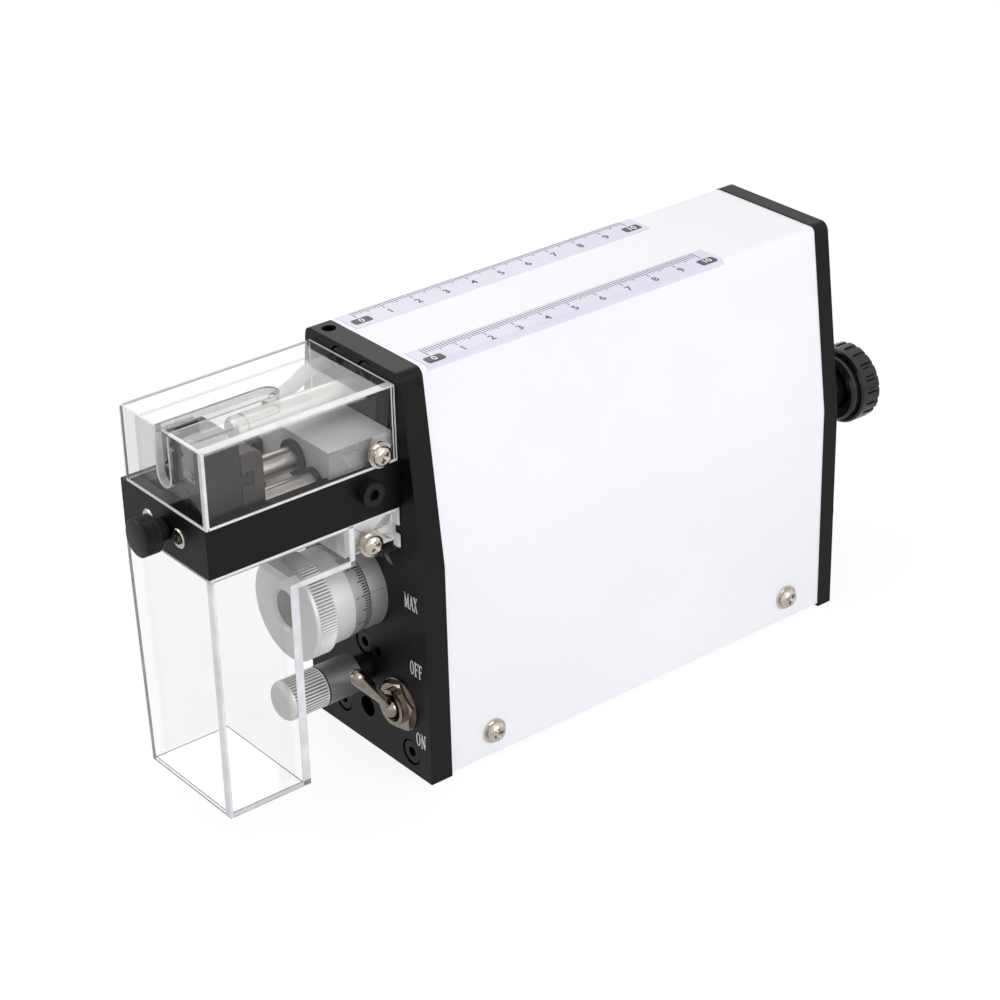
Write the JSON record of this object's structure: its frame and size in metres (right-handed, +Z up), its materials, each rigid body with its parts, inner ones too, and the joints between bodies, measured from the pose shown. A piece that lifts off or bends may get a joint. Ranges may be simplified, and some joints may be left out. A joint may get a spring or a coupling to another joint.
{
  "type": "pneumatic wire stripping machine",
  "caption": "Narrow bench machine that strips wire ends by compressed air: sliding jaws under a clear slotted cover, clear waste bin, depth dials, switch and ruler-marked housing.",
  "frame": {"origin": "middle of the underside of the base plate, on the table", "axes": "+Z up, -Y toward the end where the wire goes in, +X toward the side of the switch"},
  "size_m": [0.0628, 0.2685, 0.1278],
  "materials": {
    "black_anodised": "satin black anodised",
    "white_paint": "satin powder coat",
    "mill_aluminium": "milled",
    "blasted_aluminium": "bead blasted",
    "label_film": "printed film",
    "nickel": "nickel plated",
    "black_oxide": "black oxide",
    "bright_steel": "ground",
    "dark_steel": "blackened",
    "bearing_plastic": "moulded",
    "clear_acrylic": "polished acrylic",
    "air_tubing": "translucent nylon",
    "brass": "turned",
    "phenolic": "moulded"
  },
  "bodies": {
    "machine": {"front_plate": "black_anodised", "rear_plate": "black_anodised", "head_frame": "black_anodised", "housing_cover": "white_paint", "base_plate": "mill_aluminium", "guide_block": "mill_aluminium", "pull_cylinder": "mill_aluminium", "valve_block": "mill_aluminium", "trigger_block": "mill_aluminium", "dial_barrel": "blasted_aluminium", "fine_barrel": "blasted_aluminium", "ruler_strips": "label_film", "housing_screws": "nickel", "housing_washers": "nickel", "clear_part_screws": "nickel", "clear_part_washers": "nickel", "switch_washer": "nickel", "switch_nut": "nickel", "switch_body": "nickel", "air_nozzle": "nickel", "front_plate_screws": "black_oxide", "rear_plate_screws": "black_oxide", "guide_block_screws": "black_oxide", "frame_screws": "black_oxide", "fine_nut": "black_oxide", "frame_set_screws": "bright_steel", "depth_stop_pin": "bright_steel", "shaft_bushings": "bearing_plastic", "clear_cover": "clear_acrylic", "waste_bin": "clear_acrylic", "air_tube": "air_tubing", "air_inlet": "brass", "silencer": "brass"},
    "thumb_screw": {"thumb_screw": "black_oxide"},
    "switch_lever": {"switch_lever": "nickel"},
    "depth_dial": {"dial_thimble": "blasted_aluminium", "dial_screw": "bright_steel"},
    "depth_stop": {"depth_stop": "brass"},
    "fine_dial": {"fine_knob": "blasted_aluminium", "fine_screw": "bright_steel"},
    "carriage": {"carrier_block": "dark_steel", "pull_shaft": "bright_steel", "guide_shaft": "bright_steel", "crosshead": "mill_aluminium", "closing_cylinder": "mill_aluminium", "pull_rod": "bright_steel", "pull_piston": "bearing_plastic"},
    "closing_unit": {"closing_rod": "bright_steel", "closing_piston": "bearing_plastic", "closing_cam": "dark_steel"},
    "right_jaw": {"jaw_right": "dark_steel", "blade_right": "bright_steel", "blade_screw_right": "bright_steel"},
    "left_jaw": {"jaw_left": "dark_steel", "blade_left": "bright_steel", "blade_screw_left": "bright_steel"},
    "trigger": {"trigger_rod": "bright_steel"},
    "stroke_adjuster": {"stroke_knob": "phenolic", "stroke_screw": "bright_steel", "lock_ring": "black_oxide"}
  },
  "joints": [
    {"name": "thumb_screw_turn", "type": "hinge", "parent": "machine", "child": "thumb_screw", "pos_m": [-0.0013, -0.14395, 0.0944], "axis": [0, 1, 0], "continuous": true},
    {"name": "switch_tilt", "type": "hinge", "parent": "machine", "child": "switch_lever", "pos_m": [0.0155, -0.08445, 0.0215], "axis": [1, 0, 0], "range_deg": [0, 104]},
    {"name": "depth_dial_turn", "type": "hinge", "parent": "machine", "child": "depth_dial", "pos_m": [-0.0017, -0.08125, 0.0547], "axis": [0, 1, 0], "range_deg": [0, 1800]},
    {"name": "depth_stop_slide", "type": "slide", "parent": "machine", "child": "depth_stop", "axis": [0, 1, 0], "range_m": [0, 0.005]},
    {"name": "fine_dial_turn", "type": "hinge", "parent": "machine", "child": "fine_dial", "pos_m": [-0.0017, -0.08125, 0.0258], "axis": [0, 1, 0], "continuous": true},
    {"name": "carriage_slide", "type": "slide", "parent": "machine", "child": "carriage", "axis": [0, 1, 0], "range_m": [0, 0.013]},
    {"name": "closing_slide", "type": "slide", "parent": "carriage", "child": "closing_unit", "axis": [0, 1, 0], "range_m": [0, 0.003]},
    {"name": "right_jaw_slide", "type": "slide", "parent": "carriage", "child": "right_jaw", "axis": [-1, 0, 0], "range_m": [0, 0.0015]},
    {"name": "left_jaw_slide", "type": "slide", "parent": "carriage", "child": "left_jaw", "axis": [1, 0, 0], "range_m": [0, 0.0015]},
    {"name": "trigger_slide", "type": "slide", "parent": "machine", "child": "trigger", "axis": [0, 1, 0], "range_m": [0, 0.003], "stiffness_N_per_m": 150, "springref_m": -0.003},
    {"name": "stroke_adjuster_turn", "type": "hinge", "parent": "machine", "child": "stroke_adjuster", "pos_m": [0, 0.07905, 0.0567], "axis": [0, 1, 0], "continuous": true}
  ],
  "couplings": [
    {"joint": "depth_stop_slide", "follows": "depth_dial_turn", "m_per_rad": 0.00015915},
    {"joint": "right_jaw_slide", "follows": "closing_slide", "ratio": 0.5},
    {"joint": "left_jaw_slide", "follows": "closing_slide", "ratio": 0.5}
  ]
}
